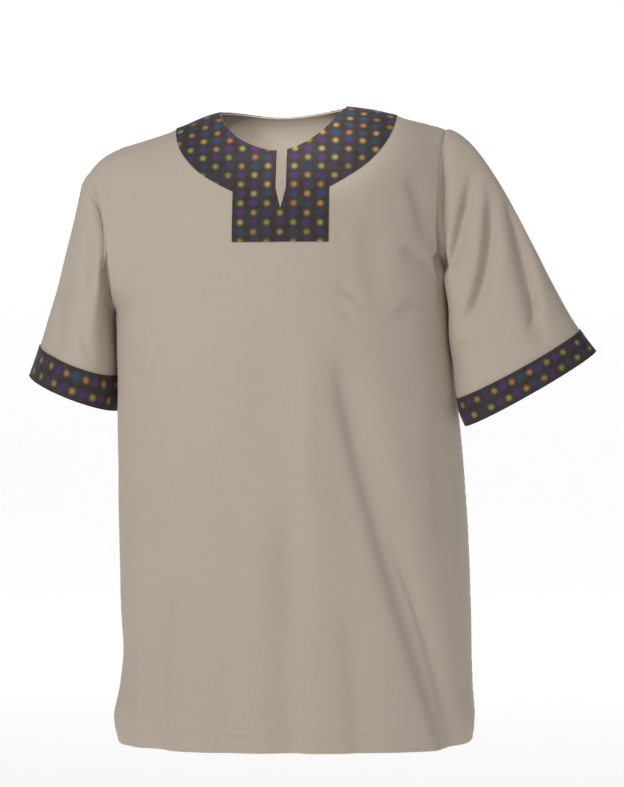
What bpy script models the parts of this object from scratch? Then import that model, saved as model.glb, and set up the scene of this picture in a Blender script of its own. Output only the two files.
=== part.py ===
"""A short-sleeved pullover tunic of plain woven cloth, filled out as it is worn, with nobody in it.

Metres, +Z up. The front faces -Y and +X is the wearer's left. The origin is midway between the two
points where the shoulder seams meet the neckline, which is where the wearer's shoulders hold the shirt.

Each piece is a wall of cloth round its own middle surface. Two pieces that are sewn together share
the points and the normals of their seam, and each is then drawn back from it, so that a fine gap stays.
"""

import math

import bmesh
import bpy
import numpy as np


def table(columns, *rows):
    """A short table as a dictionary: the name of each column, and its values down the rows."""
    return dict(zip(columns.split(), np.array(rows, float).T))


# Cloth
CLOTH = 0.0015
TRIM_CLOTH = 0.0012
SEAM_GAP = 0.0003
DRAWN_BACK = 0.6 * SEAM_GAP

# Heights, and the line down each side of the body where front and back are sewn together
HEM_HEIGHT = -0.768
ARMPIT_HEIGHT_RIGHT = -0.245
ARMPIT_HEIGHT_LEFT = -0.240
SIDE_SEAM_Y = 0.008
RIDGE_Y = 0.0

# The slit left open at the foot of each side seam
VENT_HEIGHT = 0.070
VENT_PART = 0.0055
VENT_FLARE = 0.002
HEM_CORNER_RISE = 0.010
HEM_CORNER_TIGHTNESS = 8

# The body from the hem to the armpits: how far it reaches at each height
BODY = table(
    "height right left front back",
    (-0.768, -0.1980, 0.2220, -0.1200, 0.1140),
    (-0.735, -0.2060, 0.2270, -0.1215, 0.1145),
    (-0.700, -0.2010, 0.2265, -0.1220, 0.1150),
    (-0.660, -0.1965, 0.2255, -0.1230, 0.1145),
    (-0.600, -0.1990, 0.2245, -0.1245, 0.1130),
    (-0.470, -0.2015, 0.2185, -0.1270, 0.1050),
    (-0.370, -0.2030, 0.2095, -0.1265, 0.1020),
    (-0.310, -0.2030, 0.2035, -0.1250, 0.1035),
    (-0.265, -0.2040, 0.1995, -0.1235, 0.1050),
    (-0.238, -0.2045, 0.1990, -0.1235, 0.1050),
)
BODY_ROUNDNESS = 0.45
CHEST_ROUNDNESS = 0.75

# How squarely the cloth turns over the shoulders, front and back
FRONT_TURN = 2.2
BACK_TURN = 3.0

# The top line of the shoulders, seen from the front
RIDGE = table(
    "x height",
    (-0.2460, -0.0850),
    (-0.2260, -0.0620),
    (-0.2030, -0.0480),
    (-0.1730, -0.0380),
    (-0.1510, -0.0315),
    (-0.1270, -0.0225),
    (-0.1030, -0.0120),
    (-0.0770, -0.0035),
    (0.0000, 0.0020),
    (0.0770, 0.0015),
    (0.1090, -0.0025),
    (0.1520, -0.0130),
    (0.1940, -0.0245),
)

# The neckline, from the wearer's right to the left: how far it dips below the shoulder line
NECK_SHARE = 0.375
NECK = table(
    "across x_front front x_back back",
    (-1.00, -0.0770, 0.0000, -0.0770, 0.0000),
    (-0.83, -0.0762, 0.0033, -0.0744, 0.0003),
    (-0.67, -0.0713, 0.0145, -0.0667, 0.0012),
    (-0.50, -0.0620, 0.0290, -0.0544, 0.0032),
    (-0.33, -0.0462, 0.0435, -0.0385, 0.0058),
    (-0.17, -0.0240, 0.0540, -0.0199, 0.0078),
    (0.00, 0.0000, 0.0580, 0.0000, 0.0085),
    (0.17, 0.0228, 0.0525, 0.0199, 0.0078),
    (0.33, 0.0420, 0.0410, 0.0385, 0.0058),
    (0.50, 0.0566, 0.0270, 0.0544, 0.0032),
    (0.67, 0.0667, 0.0135, 0.0667, 0.0012),
    (0.83, 0.0747, 0.0035, 0.0744, 0.0003),
    (1.00, 0.0770, 0.0000, 0.0770, 0.0000),
)

# The armholes from the armpit to the shoulder: turn says how far round the side the edge lies
ARMHOLE = {
    -1: table(
        "rise front back turn",
        (0.00, -0.2045, -0.2045, 1.000),
        (0.02, -0.2050, -0.2048, 0.999),
        (0.06, -0.2080, -0.2065, 0.988),
        (0.15, -0.2120, -0.2070, 0.950),
        (0.47, -0.2130, -0.2040, 0.830),
        (0.74, -0.2230, -0.2150, 0.820),
        (1.00, -0.2460, -0.2460, 0.860),
    ),
    1: table(
        "rise front back turn",
        (0.00, 0.1990, 0.1990, 1.000),
        (0.02, 0.1986, 0.1984, 0.999),
        (0.06, 0.1968, 0.1960, 0.988),
        (0.20, 0.1910, 0.1880, 0.940),
        (0.60, 0.1880, 0.1810, 0.880),
        (0.80, 0.1890, 0.1840, 0.880),
        (1.00, 0.1940, 0.1940, 0.900),
    ),
}

# Each sleeve's lower end: the middle of its opening, the way from the under side to the top side of
# it, the way to its front, half its size in those two directions, and how much its top side flares
CUFF = {
    -1: {
        "middle": (-0.2620, 0.0490, -0.3400),
        "to_top": (-0.93, 0.0, 0.37),
        "to_front": (0.0, -0.993, -0.12),
        "half_width": 0.0580,
        "half_depth": 0.0720,
        "flare": 0.0,
    },
    1: {
        "middle": (0.2968, -0.0340, -0.3370),
        "to_top": (0.8711, 0.0, 0.4913),
        "to_front": (0.0, -0.984, -0.18),
        "half_width": 0.0885,
        "half_depth": 0.0440,
        "flare": 0.18,
    },
}

# How a sleeve leaves the armhole, from the under side to the top: which way, and how firmly. Spread
# moves its front forward and its back backward, and lean moves both forward.
SLEEVE_LEAVES = {
    -1: table(
        "rise x spread lean down firm",
        (0.0, -1.00, 0.00, 0.00, 0.05, 0.25),
        (0.2, -0.70, 0.15, 0.00, 0.60, 0.38),
        (0.5, -0.55, 0.20, 0.00, 0.80, 0.45),
        (1.0, -0.20, 0.00, 0.00, 0.98, 0.45),
    ),
    1: table(
        "rise x spread lean down firm",
        (0.0, 0.60, 0.00, 0.50, 0.60, 0.33),
        (0.2, 0.40, 0.34, 0.18, 0.84, 0.40),
        (0.5, 0.75, 0.20, 0.00, 0.60, 0.45),
        (1.0, 1.00, 0.00, 0.00, 0.00, 0.50),
    ),
}
SLEEVE_ENDS_FIRM = 0.877

# The patterned trim: a flat yoke round the neck with a tab in front, and a band on each sleeve
BAND_WIDTH = {-1: 0.034, 1: 0.029}
BAND_OVERHANG = 0.001
YOKE_MIDDLE = 0.003
YOKE_LEAN = 0.05
TAB_HALF_WIDTH = 0.0565
TAB_FOOT = -0.165
YOKE_EDGE = table(
    "part out height",
    (0.0, 0.0565, -0.1025),
    (0.2, 0.0742, -0.0925),
    (0.4, 0.0950, -0.0790),
    (0.6, 0.1125, -0.0620),
    (0.8, 0.1255, -0.0420),
    (1.0, 0.1320, -0.0200),
    (1.3, 0.1335, 0.0200),
)
BACK_BAND_REACH = 0.1335
BACK_BAND_FOOT = -0.041
BACK_BAND_SQUARENESS = 3.0
SLIT_WIDTH = 0.0130
SLIT_TOP = -0.030
SLIT_SHOULDER = -0.101
SLIT_FOOT = -0.127

# The largest folds, each along a line through three points seen from the front. Depth is how far
# the cloth sinks in, and a negative one stands out.
FOLD_FADE = 2.5
FOLD_END_TIGHTNESS = 6
FOLD_FACING = 2.0
FRONT_FOLDS = table(
    "x_a z_a x_b z_b x_c z_c width depth",
    (0.073, -0.280, 0.112, -0.470, 0.213, -0.755, 0.017, 0.009),
    (0.049, -0.270, 0.036, -0.390, 0.056, -0.640, 0.020, -0.004),
    (0.022, -0.450, 0.014, -0.600, 0.018, -0.790, 0.020, 0.007),
    (-0.135, -0.520, -0.148, -0.640, -0.150, -0.790, 0.026, 0.007),
    (0.230, -0.095, 0.210, -0.155, 0.196, -0.191, 0.009, 0.004),
    (0.242, -0.125, 0.237, -0.190, 0.212, -0.262, 0.010, 0.005),
    (0.267, -0.100, 0.285, -0.187, 0.305, -0.290, 0.012, 0.004),
    (-0.268, -0.210, -0.274, -0.250, -0.276, -0.290, 0.012, 0.003),
)
BACK_FOLDS = table(
    "x_a z_a x_b z_b x_c z_c width depth",
    (-0.085, -0.210, -0.070, -0.440, 0.010, -0.790, 0.020, 0.008),
    (0.085, -0.430, 0.105, -0.610, 0.110, -0.790, 0.022, 0.007),
    (-0.140, -0.500, -0.160, -0.640, -0.150, -0.790, 0.024, 0.006),
    (0.225, -0.110, 0.220, -0.190, 0.210, -0.265, 0.011, 0.004),
    (-0.250, -0.140, -0.262, -0.200, -0.266, -0.270, 0.012, 0.003),
)

# How finely each piece is divided
COLUMNS = 32
LOWER_ROWS = 14
UPPER_ROWS = 13
SLEEVE_ROWS = 9
BAND_ROWS = 2
YOKE_COLUMNS = 26
YOKE_FIRST_ROW = LOWER_ROWS + 2
CURVE_STEPS = 20
PLACING_STEPS = 6
EDGE_SPLIT_WAY = (0.3, 0.8, 0.5)
SHARP_EDGE_DEGREES = 50

# How far the hidden cutters reach in front of the shirt's middle plane, and past it
CUTTER_REACH = 0.3
CUTTER_OVERLAP = 0.05

BODY_COLOUR = (0.42, 0.36, 0.29)
TRIM_COLOUR = (0.045, 0.035, 0.04)


def look_up(rows, key, value, at):
    """The value column where the key column is at, on a smooth curve through the table's rows."""
    x, y = rows[key], rows[value]
    slope = np.gradient(y, x)
    i = np.clip(np.searchsorted(x, at, side="right") - 1, 0, len(x) - 2)
    span = x[i + 1] - x[i]
    t = np.clip((at - x[i]) / span, 0.0, 1.0)
    start = (1 + 2 * t) * (1 - t) ** 2 * y[i] + t * (1 - t) ** 2 * span * slope[i]
    end = t**2 * (3 - 2 * t) * y[i + 1] + t**2 * (t - 1) * span * slope[i + 1]
    return start + end


def ease(t):
    return t * t * (3 - 2 * t)


def unit(vectors):
    return vectors / np.linalg.norm(vectors, axis=-1, keepdims=True)


def armpit_height(across):
    return ARMPIT_HEIGHT_RIGHT + (ARMPIT_HEIGHT_LEFT - ARMPIT_HEIGHT_RIGHT) * (across + 1) / 2


def lower_point(face, across, up):
    """A point of the front or back below the armpits. up runs from 0 at the hem to 1 at the armpit."""
    hem = HEM_HEIGHT + HEM_CORNER_RISE * across**HEM_CORNER_TIGHTNESS
    height = hem + (armpit_height(across) - hem) * up
    s = math.sin(abs(across) * math.pi / 2)
    reach = look_up(BODY, "height", "left" if across > 0 else "right", height)
    vent = max(0.0, 1 - (height - HEM_HEIGHT) / VENT_HEIGHT) * s**HEM_CORNER_TIGHTNESS
    parted = VENT_PART * vent * (-1 if face == "front" else 1)
    bulge = look_up(BODY, "height", face, height) - SIDE_SEAM_Y
    x = s * (reach + math.copysign(VENT_FLARE * vent, across))
    y = SIDE_SEAM_Y + parted + bulge * (1 - s * s) ** BODY_ROUNDNESS
    return (x, y, height)


def shoulder_place(face, across):
    """(x at the top, height of the shoulder line there, share of the way up at which the piece ends)."""
    low = armpit_height(across)
    if abs(across) > NECK_SHARE:
        side = 1 if across > 0 else -1
        tip = ARMHOLE[side]["front"][-1]
        neck = NECK["x_" + face][-1 if side > 0 else 0]
        x = neck + (tip - neck) * (abs(across) - NECK_SHARE) / (1 - NECK_SHARE)
        return x, look_up(RIDGE, "x", "height", x), 1.0
    x = look_up(NECK, "across", "x_" + face, across / NECK_SHARE)
    ridge = look_up(RIDGE, "x", "height", x)
    dip = look_up(NECK, "across", face, across / NECK_SHARE)
    return x, ridge, (ridge - dip - low) / (ridge - low)


def upper_point(face, across, up):
    """A point of the front or back above the armpits. up runs from 0 there to 1 at the shoulder or neck."""
    side = 1 if across > 0 else -1
    rise = (1 - math.cos(math.pi * up)) / 2
    top_x, ridge, ends = shoulder_place(face, across)
    low = armpit_height(across)
    part = rise * ends
    edge_x = look_up(ARMHOLE[side], "rise", face, rise)
    low_share = math.sin(abs(across) * math.pi / 2)
    top_share = abs(top_x / ARMHOLE[side][face][-1])
    share = low_share + (top_share - low_share) * ease(up)
    turn_power = FRONT_TURN if face == "front" else BACK_TURN
    chest = look_up(BODY, "height", face, low)
    middle_y = RIDGE_Y + (chest - RIDGE_Y) * (1 - part**turn_power) ** (1 / turn_power)
    s = share * look_up(ARMHOLE[side], "rise", "turn", rise)
    roundness = BODY_ROUNDNESS + (CHEST_ROUNDNESS - BODY_ROUNDNESS) * ease(up)
    y = SIDE_SEAM_Y + (middle_y - SIDE_SEAM_Y) * (1 - s * s) ** roundness
    return (share * edge_x, y, low + (ridge - low) * part)


def panel(face):
    """The middle surface of the front or back: rows from the hem up, columns from the wearer's right."""
    across = [2 * c / COLUMNS - 1 for c in range(COLUMNS + 1)]
    lower = [[lower_point(face, a, r / LOWER_ROWS) for a in across] for r in range(LOWER_ROWS)]
    upper = [[upper_point(face, a, r / UPPER_ROWS) for a in across] for r in range(UPPER_ROWS + 1)]
    return np.array(lower + upper)


def sleeve(side, front, back):
    """The middle surface of a sleeve: rows from armhole to cuff, columns round it from the armpit."""
    edge = -1 if side > 0 else 0
    hole_front = front[LOWER_ROWS:, edge]
    hole_back = back[LOWER_ROWS:, edge]
    start = np.concatenate([hole_front, hole_back[-2:0:-1]])
    ups = np.arange(UPPER_ROWS + 1) / UPPER_ROWS
    ups = np.concatenate([ups, ups[-2:0:-1]])
    faces = np.concatenate([np.ones(UPPER_ROWS + 1), -np.ones(UPPER_ROWS - 1)])
    angle = math.pi * (ups - 0.5)
    cuff = CUFF[side]
    to_top, to_front = unit(np.array(cuff["to_top"])), unit(np.array(cuff["to_front"]))
    end = (
        np.array(cuff["middle"])
        + cuff["half_width"] * np.sin(angle)[:, None] * to_top
        + cuff["half_depth"] * (faces * np.cos(angle))[:, None] * to_front
    )
    down = side * np.cross(to_top, to_front)
    leaves = SLEEVE_LEAVES[side]
    rise = (1 + np.sin(angle)) / 2
    way = np.stack(
        [
            look_up(leaves, "rise", "x", rise),
            -faces * look_up(leaves, "rise", "spread", rise) - look_up(leaves, "rise", "lean", rise),
            -look_up(leaves, "rise", "down", rise),
        ],
        axis=1,
    )
    length = np.linalg.norm(end - start, axis=1)[:, None]
    leave = unit(way) * look_up(leaves, "rise", "firm", rise)[:, None] * length
    flare = cuff["flare"] * np.clip(np.sin(angle), 0, 1)[:, None]
    arrive = unit(down + flare * to_top) * SLEEVE_ENDS_FIRM * length
    band_starts = 1 - BAND_WIDTH[side] / (SLEEVE_ENDS_FIRM * length)
    rows = [band_starts * r / SLEEVE_ROWS for r in range(SLEEVE_ROWS)]
    rows += [band_starts + (1 - band_starts) * r / BAND_ROWS for r in range(BAND_ROWS + 1)]
    return np.array(
        [
            (1 + 2 * t) * (1 - t) ** 2 * start
            + t * (1 - t) ** 2 * leave
            + t**2 * (3 - 2 * t) * end
            + t**2 * (t - 1) * arrive
            for t in rows
        ]
    )


def face_normals(grid, closed):
    """The normal of each square, scaled by its area. In a closed grid the last column joins the first."""
    across = np.concatenate([grid, grid[:, :1]], axis=1) if closed else grid
    return np.cross(across[1:, 1:] - across[:-1, :-1], across[1:, :-1] - across[:-1, 1:])


def add_shared_normals(sheets):
    """The outward unit normal of every point, averaged over all the sheets that meet there."""
    total = {}
    keys = {}
    for name, sheet in sheets.items():
        grid, closed = sheet["grid"], sheet["closed"]
        squares = face_normals(grid, closed) * sheet["outward"]
        sums = np.zeros_like(grid)
        width = grid.shape[1]
        for r, c in ((0, 0), (0, 1), (1, 0), (1, 1)):
            columns = (np.arange(squares.shape[1]) + c) % width
            np.add.at(sums, (slice(r, r + len(squares)), columns), squares)
        keys[name] = [[tuple(np.round(point * 1e7).astype(int)) for point in row] for row in grid]
        for row_keys, row_sums in zip(keys[name], sums):
            for key, value in zip(row_keys, row_sums):
                total[key] = total.get(key, 0) + value
    for name, sheet in sheets.items():
        sheet["normals"] = unit(np.array([[total[key] for key in row] for row in keys[name]]))


def fold_depth(points, folds):
    """How far each point sinks below the smooth surface, from its distance to each fold's line."""
    depth = np.zeros(points.shape[:2])
    seen = points[..., [0, 2]]
    for i in range(len(folds["depth"])):
        a, b, c = (np.array([folds["x_" + k][i], folds["z_" + k][i]]) for k in "abc")
        bend = 2 * b - (a + c) / 2
        t = np.clip((seen - a) @ (c - a) / ((c - a) @ (c - a)), 0, 1)[..., None]
        for _ in range(PLACING_STEPS):
            spot = (1 - t) ** 2 * a + 2 * t * (1 - t) * bend + t * t * c
            way = 2 * (1 - t) * (bend - a) + 2 * t * (c - bend)
            step = ((seen - spot) * way).sum(axis=-1, keepdims=True) / (way * way).sum(axis=-1, keepdims=True)
            t = np.clip(t + step, 0, 1)
        along = t[..., 0]
        fade = np.sin(np.clip(along * FOLD_FADE, 0, 1) * math.pi / 2) ** 2
        if folds["z_c"][i] > HEM_HEIGHT:
            fade *= 1 - along**FOLD_END_TIGHTNESS
        near = np.exp(-((np.linalg.norm(seen - spot, axis=-1) / folds["width"][i]) ** 2))
        depth += folds["depth"][i] * near * fade
    return depth


def press_folds(sheets):
    for sheet in sheets.values():
        facing = np.clip(-sheet["normals"][..., 1:2] * FOLD_FACING, -1, 1)
        front = fold_depth(sheet["grid"], FRONT_FOLDS)[..., None] * np.clip(facing, 0, 1)
        back = fold_depth(sheet["grid"], BACK_FOLDS)[..., None] * np.clip(-facing, 0, 1)
        sheet["pressed"] = sheet["grid"] - sheet["normals"] * (front + back)
    for sheet in sheets.values():
        sheet["grid"] = sheet.pop("pressed")


def draw_back(sheet, seams):
    """Moves the sewn edges of a sheet away from their seams, square to each."""
    grid = sheet["grid"]
    moved = grid.copy()
    for edge, inner in seams:
        line = grid[edge]
        first, last = (line[-1:], line[:1]) if sheet["closed"] else (line[:1], line[-1:])
        along = unit(np.concatenate([line[1:], last]) - np.concatenate([first, line[:-1]]))
        inward = grid[inner] - line
        inward -= (inward * along).sum(axis=1, keepdims=True) * along
        moved[edge] += unit(inward) * DRAWN_BACK
    sheet["grid"] = moved


def panel_seams():
    """The sewn edges of a panel, sides and shoulders, each with the line of points next to it."""
    every, top = slice(None), LOWER_ROWS + UPPER_ROWS
    shoulder = int((1 - NECK_SHARE) * COLUMNS / 2) + 1
    right, left = slice(0, shoulder), slice(COLUMNS + 1 - shoulder, COLUMNS + 1)
    sides = [((every, 0), (every, 1)), ((every, COLUMNS), (every, COLUMNS - 1))]
    return sides + [((top, side), (top - 1, side)) for side in (right, left)]


def wall(name, sheet, low, high, colour):
    """An object whose wall lies between two distances from the sheet's middle surface."""
    grid, normals, closed = sheet["grid"], sheet["normals"], sheet["closed"]
    rows, columns = grid.shape[:2]
    mesh = bpy.data.meshes.new(name)
    bm = bmesh.new()
    layers = [[[bm.verts.new(p) for p in row] for row in grid + normals * d] for d in (low, high)]
    spans = columns if closed else columns - 1
    for r in range(rows - 1):
        for c in range(spans):
            ring = [(r, c), (r, (c + 1) % columns), (r + 1, (c + 1) % columns), (r + 1, c)]
            one, other = (np.linalg.norm(grid[ring[k]] - grid[ring[k + 2]]) for k in (0, 1))
            turned = ring if one < other else ring[1:] + ring[:1]
            for corners in (turned[:3], turned[2:] + turned[:1]):
                for layer in layers:
                    bm.faces.new([layer[i][j] for i, j in corners])
    inner, outer = layers
    rims = [[(r, c) for c in range(columns)] + ([(r, 0)] if closed else []) for r in (0, rows - 1)]
    if not closed:
        rims += [[(r, c) for r in range(rows)] for c in (0, columns - 1)]
    for rim in rims:
        for one, other in zip(rim, rim[1:]):
            # Both pieces at a seam split their edge the same way, so that the gap stays even
            (r, c), (s, d) = sorted((one, other), key=lambda place: grid[place] @ EDGE_SPLIT_WAY)
            bm.faces.new([inner[r][c], inner[s][d], outer[s][d]])
            bm.faces.new([inner[r][c], outer[s][d], outer[r][c]])
    bmesh.ops.recalc_face_normals(bm, faces=bm.faces)
    bm.to_mesh(mesh)
    bm.free()
    mesh.shade_smooth()
    mesh.set_sharp_from_angle(angle=math.radians(SHARP_EDGE_DEGREES))
    obj = bpy.data.objects.new(name, mesh)
    bpy.context.scene.collection.objects.link(obj)
    obj.parent = bpy.data.objects["shirt"]
    mesh.materials.append(cloth_material(name, colour))
    return obj


def cloth_material(name, colour):
    material = bpy.data.materials.new(name + "_cloth")
    material.use_nodes = True
    shader = material.node_tree.nodes["Principled BSDF"]
    shader.inputs["Base Color"].default_value = (*colour, 1)
    shader.inputs["Roughness"].default_value = 0.9
    shader.inputs["Metallic"].default_value = 0.0
    return material


def prism(name, outline, y_near, y_far):
    """A closed block with an outline drawn in the X-Z plane, kept out of the render."""
    mesh = bpy.data.meshes.new(name)
    bm = bmesh.new()
    near = bm.faces.new([bm.verts.new((x, y_near, z)) for x, z in outline])
    far = bmesh.ops.extrude_face_region(bm, geom=[near])["geom"]
    for vert in far:
        if isinstance(vert, bmesh.types.BMVert):
            vert.co.y = y_far
    bmesh.ops.recalc_face_normals(bm, faces=bm.faces)
    bm.to_mesh(mesh)
    bm.free()
    obj = bpy.data.objects.new(name, mesh)
    bpy.context.scene.collection.objects.link(obj)
    obj.parent = bpy.data.objects["shirt"]
    obj.hide_render = True
    obj.display_type = "WIRE"
    return obj


def cut(obj, cutter, operation):
    modifier = obj.modifiers.new(cutter.name, "BOOLEAN")
    modifier.operation = operation
    modifier.object = cutter
    modifier.solver = "EXACT"


def yoke_outline():
    parts = np.linspace(0, YOKE_EDGE["part"][-1], CURVE_STEPS)
    out, height = (look_up(YOKE_EDGE, "part", name, parts) for name in ("out", "height"))
    left = np.stack([YOKE_MIDDLE + out, height + YOKE_LEAN * out], axis=1)[::-1]
    right = np.stack([YOKE_MIDDLE - out, height - YOKE_LEAN * out], axis=1)
    foot = [(YOKE_MIDDLE + side * TAB_HALF_WIDTH, TAB_FOOT) for side in (1, -1)]
    return [*left.tolist(), *foot, *right.tolist()]


def back_band_outline():
    angles = np.linspace(math.pi, 2 * math.pi, 2 * CURVE_STEPS + 1)
    power = 2 / BACK_BAND_SQUARENESS
    edge = [
        (
            BACK_BAND_REACH * math.copysign(abs(math.cos(a)) ** power, math.cos(a)),
            BACK_BAND_FOOT * abs(math.sin(a)) ** power,
        )
        for a in angles
    ]
    return [(-BACK_BAND_REACH, -BACK_BAND_FOOT)] + edge + [(BACK_BAND_REACH, -BACK_BAND_FOOT)]


def upper_sheet(sheet):
    """The part of a panel that the yoke lies on."""
    spare = (COLUMNS - YOKE_COLUMNS) // 2
    rows, columns = slice(YOKE_FIRST_ROW, None), slice(spare, COLUMNS + 1 - spare)
    return dict(sheet, grid=sheet["grid"][rows, columns], normals=sheet["normals"][rows, columns])


def make_shirt():
    root = bpy.data.objects.new("shirt", None)
    bpy.context.scene.collection.objects.link(root)

    front, back = panel("front"), panel("back")
    sheets = {
        "front": {"grid": front, "closed": False, "outward": 1},
        "back": {"grid": back, "closed": False, "outward": -1},
        "left": {"grid": sleeve(1, front, back), "closed": True, "outward": -1},
        "right": {"grid": sleeve(-1, front, back), "closed": True, "outward": 1},
    }
    add_shared_normals(sheets)
    press_folds(sheets)
    add_shared_normals(sheets)
    for face in ("front", "back"):
        draw_back(sheets[face], panel_seams())
    for side in ("left", "right"):
        draw_back(sheets[side], [(0, 1)])

    slit = prism(
        "neck_slit_cutter",
        [
            (YOKE_MIDDLE, SLIT_FOOT),
            (YOKE_MIDDLE + SLIT_WIDTH / 2, SLIT_SHOULDER),
            (YOKE_MIDDLE + SLIT_WIDTH / 2, SLIT_TOP),
            (YOKE_MIDDLE - SLIT_WIDTH / 2, SLIT_TOP),
            (YOKE_MIDDLE - SLIT_WIDTH / 2, SLIT_SHOULDER),
        ],
        -CUTTER_REACH,
        0.0,
    )
    half = CLOTH / 2
    front_panel = wall("front_panel", sheets["front"], -half, half, BODY_COLOUR)
    cut(front_panel, slit, "DIFFERENCE")
    wall("back_panel", sheets["back"], -half, half, BODY_COLOUR)

    low, high = half + SEAM_GAP, half + SEAM_GAP + TRIM_CLOTH
    yoke_front = wall("yoke_front", upper_sheet(sheets["front"]), low, high, TRIM_COLOUR)
    front_outline = prism("yoke_front_outline", yoke_outline(), -CUTTER_REACH, CUTTER_OVERLAP)
    cut(yoke_front, front_outline, "INTERSECT")
    cut(yoke_front, slit, "DIFFERENCE")
    yoke_back = wall("yoke_back", upper_sheet(sheets["back"]), low, high, TRIM_COLOUR)
    back_outline = prism("yoke_back_outline", back_band_outline(), -CUTTER_OVERLAP, CUTTER_REACH)
    cut(yoke_back, back_outline, "INTERSECT")

    end_rows = slice(-BAND_ROWS - 1, None)
    for side in ("left", "right"):
        sheet = sheets[side]
        band = dict(sheet, grid=sheet["grid"][end_rows], normals=sheet["normals"][end_rows])
        wall("sleeve_band_" + side, band, low, high, TRIM_COLOUR)
        end, before = sheet["grid"][-1], sheet["grid"][-2]
        sheet["grid"][-1] = end + unit(before - end) * BAND_OVERHANG
        wall("sleeve_" + side, sheet, -half, half, BODY_COLOUR)


for startup_object in list(bpy.data.objects):
    bpy.data.objects.remove(startup_object)
make_shirt()
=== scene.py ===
import math

import bmesh
import bpy
import numpy as np
from mathutils import Matrix, noise


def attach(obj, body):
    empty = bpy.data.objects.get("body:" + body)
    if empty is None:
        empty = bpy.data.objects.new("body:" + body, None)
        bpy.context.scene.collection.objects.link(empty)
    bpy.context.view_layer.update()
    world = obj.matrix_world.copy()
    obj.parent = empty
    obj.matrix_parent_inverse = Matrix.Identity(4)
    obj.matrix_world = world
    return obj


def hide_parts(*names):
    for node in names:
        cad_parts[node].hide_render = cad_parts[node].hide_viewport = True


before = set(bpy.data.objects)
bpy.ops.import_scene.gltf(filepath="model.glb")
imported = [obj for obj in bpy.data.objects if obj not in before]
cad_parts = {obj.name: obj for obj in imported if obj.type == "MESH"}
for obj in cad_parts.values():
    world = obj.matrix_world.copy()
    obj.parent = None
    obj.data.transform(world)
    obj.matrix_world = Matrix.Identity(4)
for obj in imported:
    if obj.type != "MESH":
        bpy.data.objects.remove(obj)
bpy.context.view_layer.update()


# Front of the shirt: one piece of plain-woven cotton, cut with a scooped neck and a slit down from it.
# Its sides are sewn to the back and its armholes to the sleeves, and its lower edge is turned up and
# stitched. The same cloth and the same way of shaping it serve the back and the sleeves below.
def table(columns, *rows):
    return dict(zip(columns.split(), np.array(rows, float).T))


cloth_thickness = 0.0015
hem_height = -0.768
hem_corner_rise = 0.010
side_seam_y = 0.008
shoulder_y = 0.0
vent_height = 0.070
vent_part = 0.0055
vent_flare = 0.002
armpit_middle = -0.2425
armpit_lean = 0.0025
neck_share = 0.375
body_roundness = 0.45
chest_roundness = 0.75
shoulder_turn = {"front": 2.2, "back": 3.0}
body_reach = table(
    "height right left front back",
    (-0.768, -0.1980, 0.2220, -0.1200, 0.1140),
    (-0.735, -0.2060, 0.2270, -0.1215, 0.1145),
    (-0.700, -0.2010, 0.2265, -0.1220, 0.1150),
    (-0.660, -0.1965, 0.2255, -0.1230, 0.1145),
    (-0.600, -0.1990, 0.2245, -0.1245, 0.1130),
    (-0.470, -0.2015, 0.2185, -0.1270, 0.1050),
    (-0.370, -0.2030, 0.2095, -0.1265, 0.1020),
    (-0.310, -0.2030, 0.2035, -0.1250, 0.1035),
    (-0.265, -0.2040, 0.1995, -0.1235, 0.1050),
    (-0.238, -0.2045, 0.1990, -0.1235, 0.1050),
)
shoulder_line = table(
    "x height",
    (-0.2460, -0.0850),
    (-0.2260, -0.0620),
    (-0.2030, -0.0480),
    (-0.1730, -0.0380),
    (-0.1510, -0.0315),
    (-0.1270, -0.0225),
    (-0.1030, -0.0120),
    (-0.0770, -0.0035),
    (0.0000, 0.0020),
    (0.0770, 0.0015),
    (0.1090, -0.0025),
    (0.1520, -0.0130),
    (0.1940, -0.0245),
)
neckline = table(
    "across x_front front x_back back",
    (-1.00, -0.0770, 0.0000, -0.0770, 0.0000),
    (-0.83, -0.0762, 0.0033, -0.0744, 0.0003),
    (-0.67, -0.0713, 0.0145, -0.0667, 0.0012),
    (-0.50, -0.0620, 0.0290, -0.0544, 0.0032),
    (-0.33, -0.0462, 0.0435, -0.0385, 0.0058),
    (-0.17, -0.0240, 0.0540, -0.0199, 0.0078),
    (0.00, 0.0000, 0.0580, 0.0000, 0.0085),
    (0.17, 0.0228, 0.0525, 0.0199, 0.0078),
    (0.33, 0.0420, 0.0410, 0.0385, 0.0058),
    (0.50, 0.0566, 0.0270, 0.0544, 0.0032),
    (0.67, 0.0667, 0.0135, 0.0667, 0.0012),
    (0.83, 0.0747, 0.0035, 0.0744, 0.0003),
    (1.00, 0.0770, 0.0000, 0.0770, 0.0000),
)
armhole = {
    -1: table(
        "rise front back turn",
        (0.00, -0.2045, -0.2045, 1.000),
        (0.02, -0.2050, -0.2048, 0.999),
        (0.06, -0.2080, -0.2065, 0.988),
        (0.15, -0.2120, -0.2070, 0.950),
        (0.47, -0.2130, -0.2040, 0.830),
        (0.74, -0.2230, -0.2150, 0.820),
        (1.00, -0.2460, -0.2460, 0.860),
    ),
    1: table(
        "rise front back turn",
        (0.00, 0.1990, 0.1990, 1.000),
        (0.02, 0.1986, 0.1984, 0.999),
        (0.06, 0.1968, 0.1960, 0.988),
        (0.20, 0.1910, 0.1880, 0.940),
        (0.60, 0.1880, 0.1810, 0.880),
        (0.80, 0.1890, 0.1840, 0.880),
        (1.00, 0.1940, 0.1940, 0.900),
    ),
}


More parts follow.
